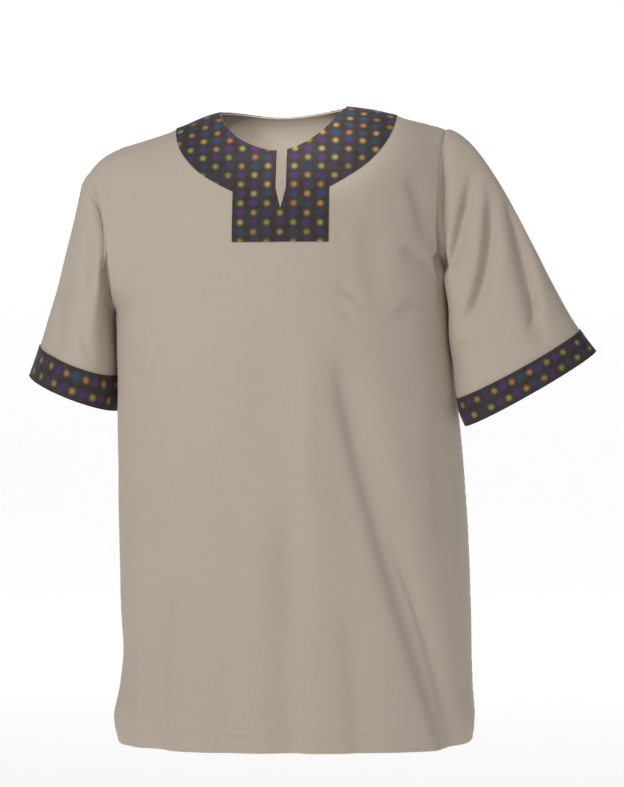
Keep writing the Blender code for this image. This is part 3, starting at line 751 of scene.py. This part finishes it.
# Sleeves: short set-in sleeves of the same cotton, each cut flat with a low cap, joined under the arm
# and sewn into its armhole. They are named for the wearer's side.
for side, name in ((1, "left"), (-1, "right")):
    tube = sleeve[side]
    cloth = tube["grid"].copy()
    cloth[-1] += unit(cloth[-2] - cloth[-1]) * 0.0012
    piece = cloth_shell(
        "sleeve_cloth_" + name, cloth, tube["normals"], tube["run"], -half_cloth, half_cloth, closed=True
    )
    piece.data.materials.append(body_cotton)
    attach(piece, "root")
    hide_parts("sleeve_" + name)


# Yoke round the neck: printed cotton on a charcoal ground, cut as a curved band with a square tab in
# front and a plain band behind. Its edges are turned under and it is topstitched flat on the shirt.
trim_thickness = 0.0012
trim_low = half_cloth + 0.0002
trim_high = trim_low + trim_thickness
all_lines = np.concatenate([below_lines - 1, above_lines])


def place_on_panel(face, x, z):
    """The across and up of the points of the upper panel that lie at x and z, seen from the front."""
    side = np.sign(x)
    near, far = np.zeros_like(x), np.ones_like(x)
    for _ in range(42):
        across = side * (near + far) / 2
        low = armpit_height(across)
        top = above_armpits(face, across, np.ones_like(x))[..., 2]
        rise = np.clip((z - low) / (top - low), 0, 1)
        up = np.arccos(1 - 2 * rise) / math.pi
        beyond = abs(above_armpits(face, across, up)[..., 0]) > abs(x)
        far = np.where(beyond, (near + far) / 2, far)
        near = np.where(beyond, near, (near + far) / 2)
    return across, up


def on_panel(panel, across, up):
    """Point, normal and cloth run of the finished panel at those places."""
    column = np.interp(across, across_lines, np.arange(len(across_lines)))
    row = np.interp(up, all_lines, np.arange(len(all_lines)))
    c = np.clip(column.astype(int), 0, len(across_lines) - 2)
    r = np.clip(row.astype(int), 0, len(all_lines) - 2)
    u, v = (column - c)[..., None], (row - r)[..., None]
    found = []
    for name in ("grid", "normals", "run"):
        data = panel[name]
        found.append(
            (data[r, c] * (1 - u) + data[r, c + 1] * u) * (1 - v)
            + (data[r + 1, c] * (1 - u) + data[r + 1, c + 1] * u) * v
        )
    return found


def spread_rows(inner, outer, count):
    """Rows of x, z places between two lines of them, set close together beside both edges."""
    length = np.linalg.norm(outer - inner, axis=-1, keepdims=True)
    near = [0, 0.0008, 0.0022, 0.0040]
    shares = [d / length for d in near]
    shares += [near[-1] / length + (1 - 2 * near[-1] / length) * t for t in np.linspace(0, 1, count)[1:-1]]
    shares += [1 - d / length for d in near[::-1]]
    return np.array([inner + (outer - inner) * share for share in shares])


lifted_columns, curve_columns, side_columns, foot_columns, back_columns = 8, 46, 20, 22, 121


def meet_shoulders(places):
    """Lifts both ends of a yoke's rows onto the shoulder seam, which isn't straight."""
    for end, step in ((0, 1), (-1, -1)):
        lift = shoulder_height(places[:, end, 0]) - places[:, end, 1]
        for k in range(lifted_columns):
            places[:, end + k * step, 1] += lift * (1 - k / lifted_columns) ** 2
    return places


# beside the shoulder seams the cloth turns flat, so the columns start close together there
from_shoulder = np.linspace(0, 1, curve_columns) ** 1.8
shoulder_to_shoulder = (1 - np.cos(np.linspace(0, math.pi, back_columns))) / 2


def yoke_half(side):
    """Inner and outer edge of one half of the front yoke, from the shoulder seam to the slit's foot."""
    across = side * np.linspace(neck_share, 0.02, 60)
    neck = above_armpits("front", across, np.ones(60))[:, [0, 2]]
    slit_x = slit_middle + side * slit_half
    neck = neck[neck[:, 0] * side > slit_x * side]
    top_z = np.interp(slit_x * side, neck[::-1, 0] * side, neck[::-1, 1])
    neck = np.concatenate([neck, [[slit_x, top_z]]])
    shoulder = [slit_x, slit_shoulder]
    split = [slit_x, top_z + 0.45 * (slit_shoulder - top_z)]
    curve = yoke_curve(side)
    foot = [slit_middle + side * tab_half_width, tab_foot]
    inner = [
        evenly(neck, curve_columns, from_shoulder)[:-1],
        evenly([neck[-1], split], side_columns)[:-1],
        evenly([split, shoulder, [slit_middle, slit_foot]], foot_columns),
    ]
    outer = [
        evenly(curve, curve_columns, from_shoulder)[:-1],
        evenly([curve[-1], foot], side_columns)[:-1],
        evenly([foot, [slit_middle, tab_foot]], foot_columns),
    ]
    return np.concatenate(inner), np.concatenate(outer)


halves = {side: yoke_half(side) for side in (-1, 1)}
inner = np.concatenate([halves[-1][0], halves[1][0][-2::-1]])
outer = np.concatenate([halves[-1][1], halves[1][1][-2::-1]])
yoke_places = meet_shoulders(spread_rows(inner, outer, 16))
yoke_across, yoke_up = place_on_panel("front", yoke_places[..., 0], yoke_places[..., 1])
yoke_grid, yoke_normals = on_panel(front, yoke_across, yoke_up)[:2]
# how the shirt curves over from the armpits to the shoulders, as a share of that height
curve_depth, curve_power, print_start = 0.42, 2.2, 0.112
turn_over = np.linspace(0, 1, 400)
profile = np.stack([curve_depth * (1 - turn_over**curve_power) ** (1 / curve_power), turn_over], axis=1)
profile_run = run_along(profile)


def print_place(points):
    """Where the print falls on a piece that was cut flat and then laid over the shoulders."""
    x, z = points[..., 0], points[..., 2]
    top = shoulder_height(x)
    share = np.clip((z - armpit_middle) / (top - armpit_middle), 0, 1)
    up = (top - armpit_middle) * np.interp(share, turn_over, profile_run)
    return np.stack([x - slit_middle, up - print_start], axis=-1)


yoke_run = print_place(yoke_grid)


def press_edges(grid, normals, distance):
    """Turned edges: the cloth is fullest just inside its edge and pulled down along the stitches."""
    fullest = np.exp(-(((distance - 0.0008) / 0.0009) ** 2))
    pulled = np.exp(-(((distance - 0.0024) / 0.0009) ** 2))
    return grid + normals * (0.00035 * (fullest - pulled))[..., None]


def rows_from_edges(grid):
    steps = np.linalg.norm(np.diff(grid, axis=0), axis=-1)
    run = np.concatenate([np.zeros((1, grid.shape[1])), np.cumsum(steps, axis=0)])
    return np.minimum(run, run[-1:] - run)


yoke_grid = press_edges(yoke_grid, yoke_normals, rows_from_edges(yoke_grid))

print_group, print_in, print_out = node_group(
    "dotted_print", ("Place on cloth", "INPUT", "Vector"), ("Colour", "OUTPUT", "Color")
)
dot_columns, dot_pitch = 0.0157, 0.0232
spot = node(print_group, "ShaderNodeSeparateXYZ", [print_in[0]]).outputs


def work_out(operation, *values):
    return maths(print_group, operation, *values)


def dot_layer(step_u, step_v):
    """Distance to the nearest dot of one lattice, offset by those steps, and a random value for that dot."""
    u = work_out("DIVIDE", spot[0], 2 * dot_columns)
    v = work_out("DIVIDE", spot[1], dot_pitch)
    u = work_out("ADD", u, step_u)
    v = work_out("ADD", v, step_v)
    cell_u, cell_v = work_out("ROUND", u), work_out("ROUND", v)
    off_u = work_out("MULTIPLY", work_out("SUBTRACT", u, cell_u), 2 * dot_columns)
    off_v = work_out("MULTIPLY", work_out("SUBTRACT", v, cell_v), dot_pitch)
    cell = node(print_group, "ShaderNodeCombineXYZ", [cell_u, cell_v, step_u + 2 * step_v]).outputs[0]
    jitter = node(print_group, "ShaderNodeTexWhiteNoise", [cell], noise_dimensions="3D").outputs[0]
    return off_u, off_v, jitter


def dot_mask(off_u, off_v, radius, soft):
    squares = [work_out("MULTIPLY", off, off) for off in (off_u, off_v)]
    away = work_out("SQRT", work_out("ADD", *squares))
    edge = node(print_group, "ShaderNodeMapRange", [away, radius - soft, radius + soft, 1.0, 0.0])
    return edge.outputs[0]


def ramp(tree, value, *stops):
    made = node(tree, "ShaderNodeValToRGB", [value])
    stops = list(stops)
    made.color_ramp.elements[0].position, made.color_ramp.elements[0].color = stops[0][0], (*stops[0][1], 1)
    made.color_ramp.elements[1].position, made.color_ramp.elements[1].color = stops[-1][0], (*stops[-1][1], 1)
    for position, colour in stops[1:-1]:
        made.color_ramp.elements.new(position).color = (*colour, 1)
    return made.outputs[0]


ground_noise = node(print_group, "ShaderNodeTexNoise", [print_in[0], None, 95.0, 3.0]).outputs[0]
colour = ramp(
    print_group, ground_noise,
    (0.36, (0.040, 0.024, 0.022)), (0.5, (0.040, 0.031, 0.031)), (0.64, (0.032, 0.042, 0.038)),
)
# the colours drift from one part of the cloth to the next, and no two dots are quite alike
zone_noise = node(print_group, "ShaderNodeTexNoise", [print_in[0], None, 13.0, 1.0]).outputs[0]
zone_noise = work_out("MULTIPLY_ADD", zone_noise, 1.5, -0.40)
for half_step in (0.0, 0.5):
    off_u, off_v, jitter = dot_layer(half_step, half_step + 0.5)
    zone = work_out("MULTIPLY_ADD", jitter, 0.22, zone_noise)
    dark_spot = ramp(
        print_group, zone,
        (0.28, (0.018, 0.085, 0.140)), (0.42, (0.055, 0.030, 0.140)), (0.62, (0.085, 0.035, 0.130)),
        (0.78, (0.050, 0.040, 0.050)),
    )
    strength = work_out("MULTIPLY_ADD", jitter, 0.65, 0.25)
    spot_mask = work_out("MULTIPLY", dot_mask(off_u, off_v, 0.0046, 0.0024), strength)
    colour = mix(print_group, spot_mask, colour, dark_spot)
for half_step in (0.0, 0.5):
    off_u, off_v, jitter = dot_layer(half_step, half_step)
    zone = work_out("MULTIPLY_ADD", jitter, 0.22, zone_noise)
    pale = ramp(
        print_group, zone,
        (0.26, (0.42, 0.17, 0.045)), (0.40, (0.38, 0.24, 0.075)), (0.54, (0.25, 0.26, 0.050)),
        (0.70, (0.30, 0.27, 0.12)), (0.86, (0.28, 0.22, 0.16)),
    )
    strength = work_out("MULTIPLY_ADD", jitter, 0.40, 0.62)
    halo = work_out("MULTIPLY", dot_mask(off_u, off_v, 0.0042, 0.0016), 0.35)
    dot = work_out("MAXIMUM", dot_mask(off_u, off_v, 0.0031, 0.0010), halo)
    colour = mix(print_group, work_out("MULTIPLY", dot, strength), colour, pale)
print_group.links.new(colour, print_out[0])


def dotted(tree, place):
    return node(tree, "ShaderNodeGroup", [place], node_tree=print_group).outputs[0]


printed_cotton = cotton(
    "dotted_print_cotton", 2200, 0.30, 0.5, (0.2, 0.78), dotted,
    {"Sheen Weight": 0.08, "Sheen Roughness": 0.45, "Specular IOR Level": 0.25},
    (0.3, 0.0002),
)

yoke_front_piece = cloth_shell("yoke_print_front", yoke_grid, yoke_normals, yoke_run, trim_low, trim_high)
back_reach, back_foot, back_squareness, neck_sink = 0.1335, -0.041, 3.0, 0.0006
angles = np.linspace(math.pi, 2 * math.pi, 241)
power = 2 / back_squareness
back_curve = np.stack(
    [
        back_reach * np.sign(np.cos(angles)) * abs(np.cos(angles)) ** power,
        back_foot * abs(np.sin(angles)) ** power,
    ],
    axis=1,
)
under = back_curve[:, 1] < shoulder_height(back_curve[:, 0])
back_curve = evenly(back_curve[under], back_columns, shoulder_to_shoulder)
back_curve[[0, -1], 1] = shoulder_height(back_curve[[0, -1], 0])
neck_across = np.linspace(-neck_share, neck_share, back_columns)
back_neck = above_armpits("back", neck_across, np.ones(back_columns))[:, [0, 2]]
back_neck[:, 1] -= neck_sink * (1 - (neck_across / neck_share) ** 2) ** 2
back_neck = evenly(back_neck, back_columns, shoulder_to_shoulder)
back_places = meet_shoulders(spread_rows(back_neck, back_curve, 14))
back_across, back_up = place_on_panel("back", back_places[..., 0] + 1e-7, back_places[..., 1])
band_grid, band_normals, band_run = on_panel(back, back_across, back_up)
neck_middle_run = band_run[0, back_columns // 2, 1]
band_run = np.stack([band_grid[..., 0] - slit_middle, band_run[..., 1] - neck_middle_run], axis=-1)
band_grid = press_edges(band_grid, band_normals, rows_from_edges(band_grid))
yoke_back_piece = cloth_shell("yoke_print_back", band_grid, band_normals, band_run, trim_low, trim_high)
for piece, node_name in ((yoke_front_piece, "yoke_front"), (yoke_back_piece, "yoke_back")):
    piece.data.materials.append(printed_cotton)
    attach(piece, "root")
    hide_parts(node_name)


# Sleeve bands: strips of the printed cotton round the end of each sleeve, turned in along both edges
# and topstitched, the lower one wrapped over the sleeve's raw end.
two_dot_rows, first_dot_row = 0.034, 0.0093
band_edges = []
for side, name in ((1, "left"), (-1, "right")):
    tube = sleeve[side]
    rows = slice(-band_rows - 1, None)
    grid, normals = tube["grid"][rows], tube["normals"][rows]
    across_band = tube["run"][rows][..., 1] - tube["run"][rows][:1, :, 1]
    round_band = tube["run"][rows][:1, :, 0] + 0 * across_band
    run = np.stack([across_band / across_band[-1:] * two_dot_rows - first_dot_row, round_band], axis=-1)
    grid = press_edges(grid, normals, rows_from_edges(grid))
    band_edges += [(grid[row] + normals[row] * trim_high, normals[row], True) for row in (1, -2)]
    piece = cloth_shell("sleeve_print_" + name, grid, normals, run, trim_low, trim_high, closed=True)
    piece.data.materials.append(printed_cotton)
    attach(piece, "root")
    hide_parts("sleeve_band_" + name)


# Topstitching: dark cotton thread round both edges of the yoke and of the sleeve bands, and thread of the
# shirt's own colour along the hem and beside the vents. One stitch is shaped and repeated along each row.
stitch_pitch, stitch_length, thread_radius = 0.0033, 0.0025, 0.00023
bpy.ops.object.select_all(action="DESELECT")
bpy.ops.mesh.primitive_uv_sphere_add(segments=6, ring_count=4, radius=1, rotation=(0, math.pi / 2, 0))
stitch = bpy.context.object
bpy.ops.object.transform_apply(location=False, rotation=True, scale=False)
bpy.ops.object.mode_set(mode="EDIT")
bpy.ops.mesh.select_all(action="SELECT")
bpy.ops.transform.resize(value=(stitch_length / 2, thread_radius, thread_radius))
bpy.ops.object.mode_set(mode="OBJECT")
stitch_points = np.array([vert.co for vert in stitch.data.vertices])
stitch_points[:, 2] -= 0.00022 * (stitch_points[:, 0] * 2 / stitch_length) ** 2
stitch_faces = [list(face.vertices) for face in stitch.data.polygons]
bpy.data.objects.remove(stitch)


def sew(name, lines, thread):
    """Stitches end to end along rows of points, each row with its normals, and closed or not."""
    points, faces, places = [], [], []
    for line, up, closed in lines:
        if closed:
            line, up = np.concatenate([line, line[:1]]), np.concatenate([up, up[:1]])
        run = run_along(line)
        count = int(round(run[-1] / stitch_pitch))
        middles = (np.arange(count) + 0.5) * run[-1] / count
        ends = [
            np.stack([np.interp(middles + half * stitch_length, run, line[:, k]) for k in range(3)], axis=1)
            for half in (-0.5, 0.5)
        ]
        along = unit(ends[1] - ends[0])
        outward = np.stack([np.interp(middles, run, up[:, k]) for k in range(3)], axis=1)
        outward = unit(outward - along * (outward * along).sum(axis=1, keepdims=True))
        axes = np.stack([along, np.cross(outward, along), outward], axis=1)
        for i in range(count):
            first = len(points) * len(stitch_points)
            points.append((ends[0][i] + ends[1][i]) / 2 + stitch_points @ axes[i])
            faces += [[corner + first for corner in face] for face in stitch_faces]
            places.append(stitch_points[:, :2] + [middles[i], 0])
    piece = add_mesh(name, np.concatenate(points), faces, "thread", np.concatenate(places))
    piece.data.materials.append(thread)
    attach(piece, "root")


def thread_material(name, dark, pale):
    """Twisted cotton thread: slanting plies between two tints, matt, with the plies standing up."""
    made = bpy.data.materials.new(name)
    made.use_nodes = True
    shader = made.node_tree.nodes["Principled BSDF"]
    place = node(made.node_tree, "ShaderNodeUVMap", uv_map="thread").outputs[0]
    plies = node(made.node_tree, "ShaderNodeTexWave", [place, 900.0, 1.5, 2.0], bands_direction="DIAGONAL")
    tint = mix(made.node_tree, plies.outputs["Fac"], (*dark, 1), (*pale, 1))
    made.node_tree.links.new(tint, shader.inputs["Base Color"])
    shader.inputs["Roughness"].default_value = 0.8
    shader.inputs["Sheen Weight"].default_value = 0.2
    relief(made.node_tree, plies.outputs["Fac"], 0.4, 0.0001)
    return made


def line_at(panel, along, distance, rows):
    """The line that lies a distance in from an edge of a panel's cloth, along its given run."""
    found = []
    for strip in rows:
        inward = abs(strip[:, 6 + along] - strip[0, 6 + along])
        found.append([np.interp(distance, inward, strip[:, k]) for k in range(6)])
    found = np.array(found)
    return found[:, :3] + found[:, 3:] * (half_cloth + 0.0001), found[:, 3:], False


trim_rows = [
    (grid[row] + normals[row] * trim_high, normals[row], False)
    for grid, normals in ((yoke_grid, yoke_normals), (band_grid, band_normals))
    for row in (2, -3)
]
charcoal_thread = thread_material("charcoal_thread", (0.030, 0.022, 0.020), (0.055, 0.045, 0.042))
sew("stitches_trim", trim_rows + band_edges, charcoal_thread)
hem_row_up, vent_row_in = 0.0205, 0.006
hem_rows = []
for panel in (front, back):
    cloth = np.concatenate([panel["grid"], panel["normals"], panel["run"]], axis=-1)
    vent_rows = int(np.argmax(cloth[:, 0, 2] > hem_height + vent_height))
    hem_rows.append(line_at(panel, 1, hem_row_up, cloth[:12].swapaxes(0, 1)))
    hem_rows.append(line_at(panel, 0, vent_row_in, cloth[2:vent_rows, :12]))
    hem_rows.append(line_at(panel, 0, vent_row_in, cloth[2:vent_rows, :-13:-1]))
oatmeal_thread = thread_material("oatmeal_thread", (0.36, 0.31, 0.24), (0.46, 0.40, 0.32))
sew("stitches_hem", hem_rows, oatmeal_thread)


# The pale floor, as far below as it is under a standing wearer, swept up far behind into a white wall,
# in a white studio: a small, strong light from the left in front, a broader, weaker one from the right,
# one above, one behind, and a narrow one on the inside of the neck.
floor_height = -1.42
bpy.ops.object.select_all(action="DESELECT")
bpy.ops.mesh.primitive_plane_add(size=1, location=(0, 0, floor_height))
floor = bpy.context.object
floor.name = "studio_floor"
floor.data.transform(Matrix.Translation((0, 6.5, 0)) @ Matrix.Diagonal((30, 17, 1, 1)))
bpy.ops.object.mode_set(mode="EDIT")
bpy.ops.mesh.select_mode(type="EDGE")
bpy.ops.mesh.select_all(action="DESELECT")
floor_mesh = bmesh.from_edit_mesh(floor.data)
for edge in floor_mesh.edges:
    edge.select_set(all(vert.co.y > 5 for vert in edge.verts))
bmesh.update_edit_mesh(floor.data)
bpy.ops.mesh.extrude_region_move(TRANSFORM_OT_translate={"value": (0, 0, 9)})
bpy.ops.object.mode_set(mode="OBJECT")
sweep = floor.modifiers.new("sweep", "BEVEL")
sweep.width, sweep.segments, sweep.limit_method = 3.0, 24, "ANGLE"
floor.data.shade_smooth()
floor_paint = bpy.data.materials.new("pale_floor")
floor_paint.use_nodes = True
paint = floor_paint.node_tree.nodes["Principled BSDF"].inputs
paint["Base Color"].default_value = (0.85, 0.85, 0.85, 1)
paint["Roughness"].default_value = 0.9
paint["Emission Color"].default_value = (1, 1, 1, 1)
paint["Emission Strength"].default_value = 0.64
floor.data.materials.append(floor_paint)

world = bpy.data.worlds.new("studio")
bpy.context.scene.world = world
world.use_nodes = True
world.node_tree.nodes["Background"].inputs[0].default_value = (1, 1, 1, 1)
world.node_tree.nodes["Background"].inputs[1].default_value = 0.20
aim = add_object("light_aim", None)
aim.location = (0.02, 0, -0.15)
for name, spot_at, size, power in (
    ("key_light", (-1.2, -1.5, 0.75), 0.5, 20),
    ("fill_light", (0.6, -1.9, 0.40), 1.0, 10.5),
    ("top_light", (0.2, -0.6, 2.4), 1.2, 5),
    ("rim_light", (0.8, 2.6, 1.4), 2.0, 6),
):
    data = bpy.data.lights.new(name, "AREA")
    data.size, data.energy = size, power
    lamp = add_object(name, data)
    lamp.location = spot_at
    track = lamp.constraints.new("TRACK_TO")
    track.target = aim
    track.track_axis, track.up_axis = "TRACK_NEGATIVE_Z", "UP_Y"
neck_data = bpy.data.lights.new("neck_light", "SPOT")
neck_data.spot_size, neck_data.spot_blend, neck_data.shadow_soft_size = math.radians(7.5), 0.6, 0.05
neck_data.energy = 125
neck_lamp = add_object("neck_light", neck_data)
neck_lamp.location = (0.02, -1.6, 0.60)
to_neck_back, to_neck_down = 1.69, 0.66
neck_lamp.rotation_euler = (math.atan2(to_neck_back, to_neck_down), 0, 0)

distance, azimuth, elevation = 4.5, math.radians(4), math.radians(-0.5)
frame_height, aim_right, aim_height = 0.9522, 0.0327, -0.343
target = np.array([aim_right * math.cos(azimuth), aim_right * math.sin(azimuth), aim_height])
back_way = np.array(
    [
        math.sin(azimuth) * math.cos(elevation),
        -math.cos(azimuth) * math.cos(elevation),
        math.sin(elevation),
    ]
)
camera_data = bpy.data.cameras.new("camera")
camera_data.lens = 36 * distance / frame_height
camera = add_object("camera", camera_data)
camera.location = target + back_way * distance
camera.rotation_euler = (math.pi / 2 - elevation, 0, azimuth)
bpy.context.scene.camera = camera
bpy.context.scene.view_settings.view_transform = "Standard"
